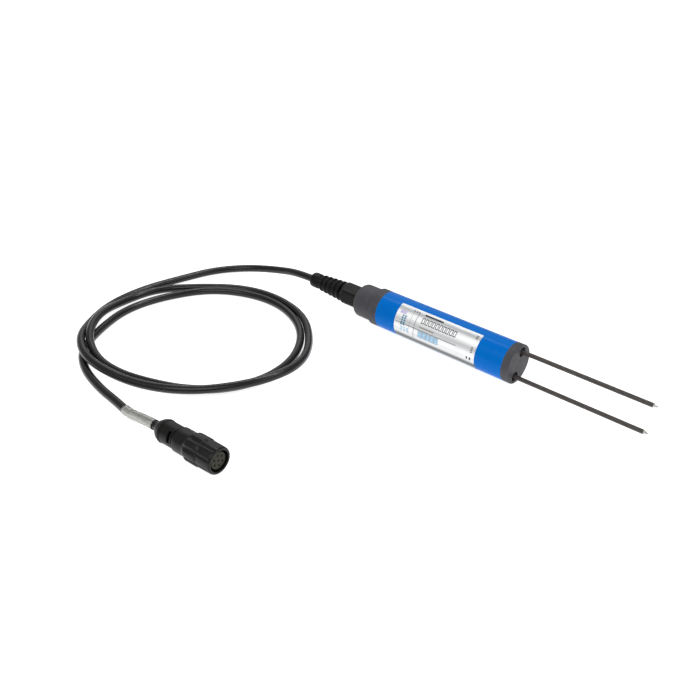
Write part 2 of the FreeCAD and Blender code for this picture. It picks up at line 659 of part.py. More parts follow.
def make_rear_shell():
    """The clamp nut and rear shell, with the window that shows the cable clamp."""
    shell = turned("plug_rear_shell", [
        ("Dims.shell_x", "Dims.cable_r + 0.25"), ("6", "Dims.cable_r + 0.25"), ("6", "6.4"),
        ("Dims.shell_len", "6.4"), ("Dims.shell_len", "Dims.shell_r - 0.2"),
        ("Dims.shell_cone + 1.2", "Dims.shell_r - 0.2"), ("Dims.shell_cone + 1", "Dims.shell_r + 0.2"),
        ("Dims.shell_cone", "Dims.shell_r + 0.2"), ("Dims.shell_x + 4.6", "Dims.shell_r - 0.9"),
        ("Dims.shell_x + 0.6", "Dims.cable_r + 1.6"), ("Dims.shell_x", "Dims.cable_r + 1.2")])
    window = new_sketch(shell, "window", "XY_Plane", "4")
    near, ahead = "Dims.window_at", "Dims.window_at + Dims.window_len"
    outline(window, [(near, "-Dims.window_half"), (ahead, "-Dims.window_half"),
                     (ahead, "Dims.window_half"), (near, "Dims.window_half")])
    pocket = shell.newObject("PartDesign::Pocket", "window_cut")
    before = shell.Shape.Volume
    pocket.Profile = window
    pocket.Length = 8
    pocket.Reversed = True
    window.Visibility = False
    doc.recompute()
    if shell.Shape.Volume > before - 1:
        raise ValueError("the window cuts nothing")
    on_plug(shell)
    # The window faces up and to the -Y side.
    turn = Rotation(Vector(0, 0, 1), size("Dims.plug_yaw")) * Rotation(Vector(1, 0, 0), 60)
    shell.Placement = Placement(shell.Placement.Base, turn)


def make_plug_core():
    """Grommet, clamp sleeve, body that carries the ring, face seal, contact insert and seven contacts."""
    grommet = turned("plug_grommet", [
        ("0", "Dims.cable_r + 0.02"), ("7", "Dims.cable_r + 0.02"), ("7", "6.3"),
        ("0", "6.3")])
    on_plug(grommet, "6.1")
    body = turned("plug_body", [
        ("0", "5.3"), ("26", "5.3"), ("26", "Dims.insert_r + 0.02"),
        ("30", "Dims.insert_r + 0.02"), ("30", "Dims.core_r"), ("9.8", "Dims.core_r"),
        ("9.8", "6.3"), ("0", "6.3")])
    on_plug(body, "13.6")
    clip = turned("ring_clip", [
        ("0", "Dims.core_r + 0.01"), ("1", "Dims.core_r + 0.01"), ("1", "7.75"), ("0", "7.75")])
    on_plug(clip, "38.3")
    seal = o_ring("plug_face_seal", "Dims.core_r + 0.36", "0.35")
    on_plug(seal, "42.3")
    insert = turned("contact_insert", [
        ("0", "0"), ("20.6", "0"), ("20.6", "Dims.insert_r"), ("0", "Dims.insert_r")])
    spots = contact_spots()
    drilled(insert, "contact_holes", spots, "Dims.contact_r", "0", "20.6")
    on_plug(insert, "39.65")
    make_contacts(spots)


def contact_spots():
    """Six contacts on a circle and one in the middle."""
    spots = [("0", "0")]
    for i in range(6):
        angle = f"{60 * i + 30}deg"
        across = f"Dims.contact_pcd_r * cos({angle})"
        up = "Dims.contact_pcd_r * sin(%s)" % angle
        spots.append((across if i not in (1, 4) else "0", up))
    return spots


def make_contacts(spots):
    """Gold-plated socket contacts, each a bored pin with a solder bucket behind the insert."""
    sockets = []
    for i, (across, up) in enumerate(spots):
        bar = bind(doc.addObject("Part::Cylinder", f"contact_bar_{i}"), Radius="Dims.contact_r - 0.01",
                   Height="23")
        bore = bind(doc.addObject("Part::Cylinder", f"contact_hollow_{i}"), Radius="Dims.contact_bore",
                    Height="9")
        bar.Placement = Placement(Vector(), Rotation(Vector(0, 1, 0), 90))
        bore.Placement = Placement(Vector(15, 0, 0), Rotation(Vector(0, 1, 0), 90))
        socket = doc.addObject("Part::Cut", f"contact_{i}")
        socket.Base = bar
        socket.Tool = bore
        sockets.append(put(socket, "0", across, up))
    on_plug(group("contact_sockets", sockets), "36.6")


def make_coupling_ring():
    """The turning ring: smooth behind, a row of finger lobes, a grooved sleeve, and a bore on the body."""
    lobe = "Dims.lobe_r"
    start = "Dims.shell_len + Dims.ring_gap"
    row = f"Dims.lobe_start - ({start})"
    tail = f"Dims.lobe_end - ({start})"
    reach = f"Dims.plug_len - ({start})"
    bearing_end = f"37.6 - ({start})"
    bearing = "Dims.core_r + 0.06"
    ring = turned("coupling_ring", [
        ("0", bearing), (bearing_end, bearing), (bearing_end, "Dims.ring_bore"),
        (reach, "Dims.ring_bore"), (reach, "Dims.ring_out_r - 0.2"),
        (tail + " + 0.5", "Dims.ring_out_r"), (tail + " - 0.6", lobe), (row + " + 3", lobe),
        (row, "Dims.shell_r + 0.6"), ("1", "Dims.shell_r + 0.6"), ("0", "Dims.shell_r + 0.2")])
    rounded(ring, "mouth_round", "1.1", ring_edge(size(reach), size("Dims.ring_out_r - 0.2")))
    hollows(ring, "lobe_hollows", "Dims.hollow_at", "Dims.hollow_r", row, tail)
    hollows(ring, "sleeve_grooves", "Dims.flute_at", "Dims.flute_r", tail, reach + " - 1.8")
    on_plug(ring, start)


def hollows(ring, label, reach, radius, begin, end):
    """Eight hollows along the ring, cut by circles whose centres lie outside it."""
    sketch = new_sketch(ring, label, "YZ_Plane", begin)
    angles = [f"{45 * i + 15}deg" for i in range(8)]
    circles(sketch, [(f"{reach} * cos({a})", f"{reach} * sin({a})") for a in angles], radius)
    cut_around(ring, sketch, label, f"({end}) - ({begin})")


def cut_around(ring, sketch, label, depth):
    before = ring.Shape.Volume
    pocket = ring.newObject("PartDesign::Pocket", label + "_cut")
    pocket.Profile = sketch
    pocket.Length = size(depth)
    pocket.setExpression("Length", depth)
    pocket.Reversed = True
    sketch.Visibility = False
    doc.recompute()
    if ring.Shape.Volume > before - 1:
        raise ValueError(f"{label} cuts nothing")


make_housing_tube()
make_front_cap()
make_front_potting()
make_rear_collar()
make_rear_cap()
make_type_label()
make_rods()
make_rod_clamps()
make_board()
make_board_supports()
make_temperature_sensor()
make_gland()
make_cable_inner_end()
make_cable()
make_marker_sleeve()
make_rear_shell()
make_plug_core()
make_plug_cores()
make_coupling_ring()

doc.recompute()
for thing in doc.Objects:
    if "Invalid" in thing.State or "Error" in thing.State:
        raise ValueError(f"{thing.Label} failed: {thing.State}")
for label, piece in nodes.items():
    if piece.Shape.isNull() or not piece.Shape.isValid() or not piece.Shape.Solids:
        raise ValueError(f"{label} has no valid solid")

os.makedirs("parts", exist_ok=True)
for label, piece in nodes.items():
    piece.Shape.exportStep(f"parts/{label}.step")
print(len(nodes), "nodes written")
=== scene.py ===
import math

import bmesh
import bpy
import numpy as np
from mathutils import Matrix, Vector


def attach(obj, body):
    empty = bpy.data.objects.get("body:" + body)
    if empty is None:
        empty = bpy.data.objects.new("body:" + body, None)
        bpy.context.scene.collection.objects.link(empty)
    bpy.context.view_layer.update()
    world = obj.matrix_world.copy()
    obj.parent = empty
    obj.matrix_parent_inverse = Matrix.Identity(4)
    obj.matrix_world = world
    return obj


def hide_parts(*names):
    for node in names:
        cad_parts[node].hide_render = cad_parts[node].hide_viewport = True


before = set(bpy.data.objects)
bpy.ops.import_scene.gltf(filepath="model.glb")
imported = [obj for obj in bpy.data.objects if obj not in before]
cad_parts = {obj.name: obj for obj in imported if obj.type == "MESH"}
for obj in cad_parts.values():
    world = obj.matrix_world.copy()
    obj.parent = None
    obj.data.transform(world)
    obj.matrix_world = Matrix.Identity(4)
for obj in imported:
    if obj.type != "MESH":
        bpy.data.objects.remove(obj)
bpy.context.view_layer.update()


# --- Table, room and camera -------------------------------------------------------------------------
# The sensor lies on a white table in an even white room. A long, narrow soft box hangs over the housing,
# and broad ones stand in front, off the rod tips and behind. The camera looks down from the front right.

MM = 0.001


def linear(hex_colour):
    """The linear colour of an sRGB hex value: the standard's straight foot, then its 2.4 power."""
    channels = [int(hex_colour[i:i + 2], 16) / 255 for i in (1, 3, 5)]
    return [c / 12.92 if c <= 0.04045 else ((c + 0.055) / 1.055) ** 2.4 for c in channels] + [1]


def add_node(tree, kind, settings=None, links=None):
    """Adds a shader node: its settings by property or socket, its links as {socket: (node, output)}."""
    node = tree.nodes.new("ShaderNode" + kind)
    for name, value in (settings or {}).items():
        if isinstance(name, str) and name in node.bl_rna.properties:
            setattr(node, name, value)
        else:
            node.inputs[name].default_value = value
    for name, (source, output) in (links or {}).items():
        tree.links.new(source.outputs[output], node.inputs[name])
    return node


def new_material(name, **surface):
    """A material with one principled surface, whose sockets are set by name, with its tree and surface."""
    material = bpy.data.materials.new(name)
    material.use_nodes = True
    shader = material.node_tree.nodes["Principled BSDF"]
    for socket, value in surface.items():
        shader.inputs[socket.replace("_", " ")].default_value = value
    return material, material.node_tree, shader


camera = bpy.data.objects.new("camera", bpy.data.cameras.new("camera"))
camera.location = (0.3028, -0.4731, 0.3526)
camera.rotation_euler = (math.radians(90 - 31.94), 0, math.radians(41.6))
camera.data.lens = 41.98
camera.data.sensor_width = 36
camera.data.clip_start = 0.01
bpy.context.scene.collection.objects.link(camera)
bpy.context.scene.camera = camera
bpy.context.scene.view_settings.view_transform = "Standard"

room = bpy.data.worlds.new("white_room")
room.use_nodes = True
room.node_tree.nodes["Background"].inputs["Color"].default_value = (1, 1, 1, 1)
room.node_tree.nodes["Background"].inputs["Strength"].default_value = 0.4
bpy.context.scene.world = room

# Each soft box: place, the point that it faces, size across and along, and power in watts.
SOFT_BOXES = [
    ((-0.15, 0.25, 0.9), (-0.10, -0.05, 0.0), (0.05, 1.3), 4.0),
    ((0.05, -0.75, 0.75), (-0.02, 0.0, 0.0), (0.5, 1.0), 3.6),
    ((0.9, 0.1, 0.7), (0.0, -0.05, 0.0), (0.8, 0.8), 2.0),
    ((-0.9, 0.7, 0.8), (-0.1, -0.1, 0.0), (0.9, 0.9), 2.0),
]
for number, (place, target, (across, along), power) in enumerate(SOFT_BOXES, 1):
    box_light = bpy.data.lights.new(f"soft_box_{number}", "AREA")
    box_light.shape = "RECTANGLE"
    box_light.size = along
    box_light.size_y = across
    box_light.energy = power
    lamp = bpy.data.objects.new(f"soft_box_{number}", box_light)
    lamp.location = place
    aim = Vector(target) - Vector(place)
    lamp.rotation_euler = aim.to_track_quat("-Z", "Y").to_euler()
    bpy.context.scene.collection.objects.link(lamp)

TABLE_HALF = 8.0
table_mesh = bpy.data.meshes.new("table")
table_mesh.from_pydata(
    [(-TABLE_HALF, -TABLE_HALF, 0), (TABLE_HALF, -TABLE_HALF, 0), (TABLE_HALF, TABLE_HALF, 0),
     (-TABLE_HALF, TABLE_HALF, 0)], [], [(0, 1, 2, 3)])
table = bpy.data.objects.new("table", table_mesh)
bpy.context.scene.collection.objects.link(table)
# Matt white paper, lit through from below like a light table, so that shadows stay faint.
paper, _, _ = new_material(
    "matt_white_paper", Base_Color=(0.55, 0.55, 0.55, 1), Roughness=0.9, Emission_Color=(1, 1, 1, 1),
    Emission_Strength=0.86)
table_mesh.materials.append(paper)


# --- Cable -------------------------------------------------------------------------------------------
# A 6.7 mm round cable with a soft black jacket, about 1.56 m from inside the gland's boot to inside the
# connector. It falls to the table and lies in two loose turns, the first one over the end of the last.

CABLE_RADIUS = 3.35 * MM

# The cable's route along its centre, in millimetres, from the boot to the connector.
cable_route = [
    (-148, 0, 16), (-178, 0, 16), (-208, 1, 9.4), (-242, -7, 3.4), (-262, -32, 3.4),
    (-271.72, -64.15, 3.4), (-281.22, -100.73, 3.38), (-279.83, -138.14, 3.38),
    (-264.29, -169.14, 4.27), (-240.23, -193.44, 10.32), (-213.9, -206.43, 10.34),
    (-185.2, -207.6, 8.4), (-153.2, -199.2, 5.4), (-118.3, -185, 8.4), (-94.7, -160, 9.4),
    (-79.3, -130.8, 10.15), (-79.05, -99.11, 8.41), (-102.06, -65.64, 3.44), (-135.86, -38.65, 3.42),
    (-178.09, -30.73, 3.4), (-214.84, -39.16, 3.4), (-245.95, -63.69, 3.4), (-271.99, -93.59, 3.61),
    (-274.98, -128.27, 3.63), (-260.57, -161.87, 10.96), (-238.01, -187.09, 10.83),
    (-211.88, -198.28, 4.81), (-181.2, -198.4, 3.4), (-150.8, -189.9, 3.4), (-121.8, -176.7, 3.4),
    (-99.6, -154.3, 3.4), (-88.67, -124.18, 3.4), (-94.63, -89.9, 3.38), (-119.88, -56.91, 3.38),
    (-158.88, -38.98, 3.39), (-197.45, -40.49, 3.4), (-234.76, -60.26, 3.4), (-255.13, -97.55, 3.4),
    (-261.3, -134, 3.4), (-249.1, -169.27, 3.38), (-232.01, -197.59, 3.38), (-206.64, -212.44, 3.38),
    (-175.4, -219.6, 3.4), (-149.8, -221.6, 3.4), (-129, -224.6, 4), (-104, -225.62, 10.7),
    (-81.22, -224.27, 10.7),
]


def route_curve(name):
    """A smooth NURBS curve whose control points are the cable's route, in metres."""
    curve = bpy.data.curves.new(name, "CURVE")
    curve.dimensions = "3D"
    spline = curve.splines.new("NURBS")
    spline.points.add(len(cable_route) - 1)
    for point, (x, y, z) in zip(spline.points, cable_route):
        point.co = (x * MM, y * MM, z * MM, 1)
    spline.order_u = 3
    spline.use_endpoint_u = True
    curve.resolution_u = 16
    return curve


def show(name, data, body="root"):
    """An object at the origin for that mesh or curve, which rides on that body."""
    piece = bpy.data.objects.new(name, data)
    bpy.context.scene.collection.objects.link(piece)
    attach(piece, body)
    return piece


def finish(name, colour, roughness, grain_mm, depth_mm, drawn=(1, 1, 1), cloud=1.08, cloud_mm=6, **sockets):
    """A real skin: its tone drifts by the factor cloud over cloud_mm, and a fine grain of grain_mm, drawn
    out by that much along each axis, breaks its gloss and stands depth_mm high."""
    material, tree, skin = new_material(name, Roughness=roughness, **sockets)
    here = add_node(tree, "TexCoord")
    drawing = add_node(tree, "Mapping", {"Scale": tuple(1 / (grain_mm * MM * d) for d in drawn)},
                       {"Vector": (here, "Object")})
    grain = add_node(tree, "TexNoise", {"Scale": 1, "Detail": 3}, {"Vector": (drawing, "Vector")})
    drift = add_node(tree, "TexNoise", {"Scale": 1 / (cloud_mm * MM), "Detail": 2},
                     {"Vector": (here, "Object")})
    tone = add_node(tree, "MapRange", {"From Min": 0.3, "From Max": 0.7, "To Min": 1 / cloud,
                                       "To Max": cloud}, {"Value": (drift, "Fac")})
    tint = add_node(tree, "HueSaturation", {"Color": linear(colour)}, {"Value": (tone, "Result")})
    tree.links.new(tint.outputs["Color"], skin.inputs["Base Color"])
    gloss = add_node(tree, "MapRange", {"From Min": 0.3, "From Max": 0.7, "To Min": roughness * 0.85,
                                        "To Max": min(1, roughness * 1.15)}, {"Value": (grain, "Fac")})
    tree.links.new(gloss.outputs["Result"], skin.inputs["Roughness"])
    bump = add_node(tree, "Bump", {"Strength": 0.4, "Distance": depth_mm * MM}, {"Height": (grain, "Fac")})
    tree.links.new(bump.outputs["Normal"], skin.inputs["Normal"])
    return material


# Extruded black polyurethane: a satin skin with a fine, even grain, and patches rubbed a little shinier.
black_jacket = finish("extruded_black_polyurethane", "#0d0d0c", 0.26, 0.3, 0.005, cloud=1.25, cloud_mm=12,
                      IOR=1.5, Specular_IOR_Level=0.4)

cable_data = route_curve("cable_line")
cable_data.bevel_depth = CABLE_RADIUS
cable_data.bevel_resolution = 7
cable_data.use_fill_caps = True
cable_data.materials.append(black_jacket)
cable = show("cable_jacket", cable_data)
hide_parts("cable")


# --- Housing tube -------------------------------------------------------------------------------------
# The probe's body: a straight 32 mm tube extruded in glossy blue plastic and cut to length, with the
# electronics inside. Faint lengthwise lines stay from the extruder's die.

def dress(material, *names):
    """Gives CAD nodes' surfaces a material."""
    for name in names:
        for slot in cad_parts[name].material_slots:
            slot.material = material


AXIS_HEIGHT = 16.0 * MM

# Extruded rigid PVC: a deep, clean blue with a gloss that is drawn into long, faint streaks.
blue_tube = finish("extruded_blue_rigid_pvc", "#0068c0", 0.22, 0.6, 0.006, drawn=(100, 1, 1), cloud=1.03,
                   cloud_mm=16, IOR=1.53, Specular_IOR_Level=0.05)
dress(blue_tube, "housing_tube")


# --- Front cap, rear collar and rear cap ----------------------------------------------------------------
# Turned from grey rod: the front cap closes the tube round the rods, the collar closes its rear, and the
# rear cap screws into the collar. O-rings seal both, and cast resin fills the space behind the front cap.

# Turned grey PVC: matt, with the lathe's fine rings a third of a millimetre apart round it.
grey_rod = finish("turned_grey_pvc", "#454549", 0.55, 0.35, 0.014, drawn=(1, 12, 12), cloud=1.1, cloud_mm=7,
                  IOR=1.53, Specular_IOR_Level=0.2)
dress(grey_rod, "front_cap", "rear_collar", "rear_cap")
# Moulded nitrile rubber: dull black, faintly mottled with talc.
nitrile = finish("moulded_nitrile_rubber", "#151514", 0.7, 0.2, 0.01, cloud=1.3, cloud_mm=1.5,
                 Specular_IOR_Level=0.3)
dress(nitrile, "front_o_ring", "rear_o_ring", "gland_seal", "plug_grommet", "plug_face_seal")
# Cast epoxy resin: dark, glassy and a little uneven where it set.
resin = finish("cast_black_epoxy", "#191815", 0.2, 2.5, 0.05, cloud=1.2, IOR=1.55)
dress(resin, "front_potting")


# --- Type label -------------------------------------------------------------------------------------------
# A printed metal-foil label, stuck round the side of the tube that faces the connector. Brushed lengthwise,
# it carries painted reflections: light and dark bands painted by the angle round the tube, with one dark
# painted band low down. Its print is generic: a bar, title blocks and small marks.

LABEL_RADIUS = 16.16 * MM

def paint_bands(material, factor, output, greys):
    """Replaces a finish's colour by a ramp of (position from 0 to 1, grey) that follows that output."""
    tree = material.node_tree
    bands = add_node(tree, "ValToRGB", {}, {"Fac": (factor, output)})
    ramp = bands.color_ramp
    for element, (position, grey) in zip(ramp.elements, (greys[0], greys[-1])):
        element.position, element.color = position, linear(grey)
    for position, grey in greys[1:-1]:
        ramp.elements.new(position).color = linear(grey)
    tint = next(node for node in tree.nodes if node.bl_idname == "ShaderNodeHueSaturation")
    tree.links.new(bands.outputs["Color"], tint.inputs["Color"])


# Brushed aluminium foil: bright, with fine lines drawn lengthwise by the brush.
foil = finish("brushed_aluminium_foil", "#e9ebec", 0.3, 0.25, 0.003, drawn=(60, 1, 1), cloud=1.03,
              cloud_mm=9, Metallic=0.1)
tree = foil.node_tree
here = add_node(tree, "TexCoord")
# The angle round the tube, from level at the back (0) over the top (a quarter) to level at the front.
level = add_node(tree, "Mapping", {"Location": (0, 0, -AXIS_HEIGHT)}, {"Vector": (here, "Object")})
parts = add_node(tree, "SeparateXYZ", {}, {"Vector": (level, "Vector")})
angle = add_node(tree, "Math", {"operation": "ARCTAN2"}, {0: (parts, "Z"), 1: (parts, "Y")})
turn = add_node(tree, "MapRange", {"From Min": -math.pi, "From Max": math.pi, "To Min": 0, "To Max": 1},
                {"Value": (angle, "Value")})
# Painted reflections on the foil, as (degrees over the top from the back, grey): mostly light bands where it
# would mirror the bright room and table, darker ones between, and one dark painted band low down where it
# would mirror shade.
PAINTED_REFLECTION_BANDS = [(-168, "#e2e3e4"), (-164, "#cfd0d2"), (-160, "#8d8f92"), (-156, "#4f5154"), (-148, "#55575a"),
         (-144, "#707276"), (-134, "#aeb0b2"), (-118, "#c3c5c6"), (106, "#dcdddd"), (112, "#cbcccd"),
         (117, "#b5b7b9"), (121, "#b2b4b6"), (125, "#cacbcd"), (129, "#eff0f0"), (134, "#ffffff"),
         (141, "#fdfdfd"), (148, "#e0e1e2"), (154, "#c8cacc"), (159, "#cccecf"), (164, "#dfe0e1"),
         (170, "#f4f5f5")]
paint_bands(foil, turn, "Result", [((degrees + 180) / 360, grey) for degrees, grey in PAINTED_REFLECTION_BANDS])
dress(foil, "type_label")


def surface(name, points, wrap=False):
    """A mesh of quads over a grid of points, shape (rows, columns, 3); wrap joins the last column to the
    first."""
    rows, columns = points.shape[:2]
    i, j = np.meshgrid(np.arange(rows - 1), np.arange(columns if wrap else columns - 1), indexing="ij")
    beside = (j + 1) % columns
    quads = np.stack([i * columns + j, i * columns + beside, (i + 1) * columns + beside,
                      (i + 1) * columns + j], axis=-1).reshape(-1, 4)
    mesh = bpy.data.meshes.new(name)
    mesh.from_pydata(points.reshape(-1, 3).tolist(), [], quads.tolist())
    mesh.shade_smooth()
    return mesh


def weld(mesh):
    """Joins the points that a closed surface's seams hold twice, and turns its faces outwards."""
    shell = bmesh.new()
    shell.from_mesh(mesh)
    bmesh.ops.remove_doubles(shell, verts=shell.verts, dist=1e-7)
    bmesh.ops.recalc_face_normals(shell, faces=shell.faces)
    shell.to_mesh(mesh)
    return mesh


def patch(x_from, x_to, low, high, lift):
    """A piece of print: every point at x along the tube and at an angle in degrees, lift above the foil."""
    x, turn_by = np.meshgrid(np.linspace(x_from, x_to, 3) * MM,
                             np.radians(np.linspace(low, high, max(3, int((high - low) / 1.5) + 2))))
    radius = LABEL_RADIUS + lift * MM
    return np.stack([x, radius * np.cos(turn_by), AXIS_HEIGHT + radius * np.sin(turn_by)], axis=-1)


def ink(name, colour):
    """Screen-printed ink: matt, with a slight unevenness where the mesh left it thin."""
    return finish(name, colour, 0.5, 0.3, 0.004, cloud=1.12, cloud_mm=1.2, Specular_IOR_Level=0.3)


def outlined(x, low, high, wide, stroke, stroke_turn):
    """Four thin patches round a blank block that begins at x, and reaches from low to high round it."""
    return [(x, x + wide, low, low + stroke_turn), (x, x + wide, high - stroke_turn, high),
            (x, x + stroke, low, high), (x + wide - stroke, x + wide, low, high)]


title = sum([outlined(-30 + 3.4 * i, 126, 144.5, 2.7, 0.6, 2.6) for i in range(10)], [])
small_row = [(-30 + 1.6 * i, -30 + 1.6 * i + 1.2, 153.5, 157.5) for i in range(9)]
blue_row = [(-30 + 4.0 * i, -30 + 4.0 * i + 3.0, 167, 186) for i in range(5)]
blue_outline = sum([outlined(-30.4 + 4.0 * i, 166, 187, 3.8, 0.35, 1.2) for i in range(5)], [])
checks = [(-48.5 + 2.4 * (i % 2), -46.9 + 2.4 * (i % 2), 139 + 6.4 * (i // 2), 143.6 + 6.4 * (i // 2))
          for i in range(10)]
side_marks = [(19.4, 21.2, low, low + 2.2) for low in (114, 118.5, 123, 150, 154.5, 159, 163.5)]
# Each ink: colour, then its patches as (from, to along the tube in mm, from, to in degrees round it).
PRINT = {
    "black_ink": ("#303237", [(-30, -12, 114, 119.5), (-41, -39.9, 114, 118.5), (-38.5, -37.4, 114, 118.5),
                              (-36.4, -35.6, 114, 118.5), (16.5, 17.7, 181, 190), (19.3, 20.6, 181, 190)]
                  + side_marks),
    "grey_ink": ("#4b4e53", [(-35.3, -34.9, 114, 196), (-40.2, -40.0, 122, 196), (-54, 6, 163.2, 165.0)]
                 + title),
    "brown_ink": ("#8d827b", small_row),
    "steel_ink": ("#7487a0", blue_outline),
    "pale_blue_ink": ("#a3c8e2", blue_row + [(x, x + 1.9, low, low + 5.5) for x in (-48, -45, -42)
                                             for low in (173, 181)]),
    "teal_ink": ("#3a7f9c", checks),
    "lilac_ink": ("#c6bfdf", [(-52, -46, 127, 137)]),
}
# How far the first ink stands above the foil, and each later ink above the one before, in mm.
INK_LIFT, INK_STEP = 0.012, 0.003
for layer_number, (name, (colour, patches)) in enumerate(PRINT.items()):
    print_shapes = bmesh.new()
    for spot in patches:
        print_shapes.from_mesh(surface(name, patch(*spot, INK_LIFT + INK_STEP * layer_number)))
    mesh = bpy.data.meshes.new(f"label_{name}")
    print_shapes.to_mesh(mesh)
    mesh.materials.append(ink(f"screen_printed_{name}", colour))
    piece = show(f"label_{name}", mesh)


# --- Rods ------------------------------------------------------------------------------------------------
# Two 3 mm stainless rods under a dark insulating coating, 20 mm apart, with ground points left bare.
# A black bush holds each in the front cap, and a brass block clamps its inner end to the board.

# A dip-coated polymer: dark warm grey, with slight drips drawn along the rod.
dark_coating = finish("dip_coated_dark_grey_polymer", "#413d3b", 0.4, 0.6, 0.012, drawn=(8, 1, 1), cloud=1.2,
                      cloud_mm=3, Specular_IOR_Level=0.3)
dress(dark_coating, "rod_coating_upper", "rod_coating_lower")
# Ground stainless steel: bright, with the wheel's marks round the point a tenth of a millimetre apart.
ground_steel = finish("ground_stainless_steel", "#c4c3bf", 0.3, 0.12, 0.004, drawn=(1, 20, 20), cloud=1.05,
                      Metallic=1.0)
dress(ground_steel, "rod_upper", "rod_lower", "sensor_leads", "ring_clip")
# Turned acetal: a waxy black with fine turning rings.
acetal = finish("turned_black_acetal", "#141413", 0.45, 0.2, 0.006, drawn=(1, 10, 10), Specular_IOR_Level=0.3)
dress(acetal, "rod_bush_upper", "rod_bush_lower")
# Milled brass: yellow, with fine straight cutter marks.
milled_brass = finish("milled_brass", "#c9a75c", 0.32, 0.15, 0.005, drawn=(1, 30, 1), Metallic=1.0)
dress(milled_brass, "rod_clamp_upper", "rod_clamp_lower")


# --- Electronics inside the tube -------------------------------------------------------------------------
# A green glass-fibre board in the rods' plane carries a tinned shield can, chips and the cable's header.
# Two moulded nylon discs centre it in the tube, and a dipped thermistor bead sits in the front cap.

# Solder mask over glass fibre shows the weave faintly; tinned sheet has its rolling lines.
dress(finish("solder_masked_glass_fibre", "#1d6b41", 0.35, 0.4, 0.01, drawn=(4, 1, 4), IOR=1.5),
      "circuit_board")
dress(finish("tinned_steel_sheet", "#c3c6c9", 0.28, 0.5, 0.004, drawn=(8, 1, 1), Metallic=1.0),
      "board_shield")
# Moulded and dipped resins: chips are matt, the header and discs satin, the sensor's bead glassy.
dress(finish("moulded_black_epoxy", "#1a1a1b", 0.5, 0.15, 0.008), "board_chips")
dress(finish("moulded_green_polyamide", "#2c8a4b", 0.42, 0.25, 0.01), "wire_header")
dress(finish("moulded_natural_nylon", "#dedccf", 0.45, 0.3, 0.01, Subsurface_Weight=0.1),
      "board_support_front", "board_support_rear")
dress(finish("dipped_blue_black_epoxy", "#1e2026", 0.18, 0.8, 0.02), "temperature_sensor")
# Extruded insulation: smooth and evenly glossy.
dress(finish("extruded_brown_core_insulation", "#8c4a2e", 0.35, 0.3, 0.005), "cable_cores", "plug_cores")
dress(black_jacket, "cable_inner_end")


# --- Gland ---------------------------------------------------------------------------------------------
# A black nylon cable gland: a hexagon nut squeezes a rubber seal on the stem, and a ribbed elastomer boot
# keeps the cable from kinking. All are injection moulded, with a fine spark-eroded grain.

# Moulded nylon: a satin black, mottled where the mould's grain wore.
black_nylon = finish("moulded_black_nylon", "#0d0c0b", 0.36, 0.35, 0.012, cloud=1.35, cloud_mm=4, IOR=1.5,
                     Specular_IOR_Level=0.22)
dress(black_nylon, "gland_nut", "gland_stem", "gland_lock_nut")


def turned(name, profile, place, columns=96):
    """A closed turned solid: each (along, radius) of a closed profile goes round through a full turn, and
    place(along, radius, angle) puts it in space. Radii may be arrays over the turn."""
    around = np.linspace(0, 2 * np.pi, columns, endpoint=False)
    rows = np.array([np.stack(np.broadcast_arrays(along, radius, around), axis=-1)
                     for along, radius in profile + profile[:1]])
    return weld(surface(name, place(rows[..., 0], rows[..., 1], rows[..., 2]), wrap=True))


def on_probe(along, radius, angle):
    """Along the probe's axis in mm, at that radius in mm and angle from level at the back."""
    return np.stack([along * MM, radius * MM * np.cos(angle), AXIS_HEIGHT + radius * MM * np.sin(angle)],
                    axis=-1)


# The boot, in mm from its mouth forwards: a collar rounded at the mouth, five ribs that grow towards the
# nut, each a rounded ridge, with deep round-bottomed grooves between them, and a flange inside the nut.
MOUTH = -161.0
RIBS, RIB_PITCH, FIRST_RIB, RIB_LENGTH, GROOVE_DEPTH = 5, 5.4, 11.85, 3.0, 2.6
REAR_CROWN, FRONT_CROWN = 7.4, 8.9
collar_line = [(0.0, 3.65), (0.0, 4.8), (0.25, 5.6), (0.9, 6.35), (1.9, 6.72), (3.2, 6.8), (8.2, 6.72),
               (8.9, 6.4), (9.2, 5.9)]
wave = np.linspace(0, np.pi, 9)
ribs = []
for i in range(RIBS):
    crown = REAR_CROWN + (FRONT_CROWN - REAR_CROWN) * i / (RIBS - 1)
    back = FIRST_RIB + RIB_PITCH * i
    # A rib: the crown at its middle, falling by a flattened sine to the groove's floor.
    ribs += [(back + RIB_LENGTH * w / np.pi, crown - GROOVE_DEPTH * (1 - np.sin(w) ** 0.4)) for w in wave]
front = [(38.2, 5.45), (43.6, 5.45), (43.6, 7.0), (45.5, 7.0), (45.5, 3.65)]
boot_profile = collar_line + [(10.0, 5.1), (11.2, 5.1)] + ribs + front
boot = show("bend_protection_boot", turned("bend_protection_boot", [(MOUTH + a, r) for a, r in boot_profile],
                                           on_probe))
# Moulded thermoplastic elastomer: softer and duller than the nut, faintly mottled.
boot.data.materials.append(finish("moulded_black_elastomer", "#0b0b0a", 0.42, 0.3, 0.01, cloud=1.3,
                                  cloud_mm=3, Specular_IOR_Level=0.18))
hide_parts("gland_boot")


# --- Marker on the cable -----------------------------------------------------------------------------------
# Just behind the connector, a strip of silver marker foil is rolled round the cable under a clear sleeve.
# The sleeve is a little wider than the foil, and lengthwise light and dark bands are painted on the foil as
# reflections.

SLEEVE_SIDES = 48


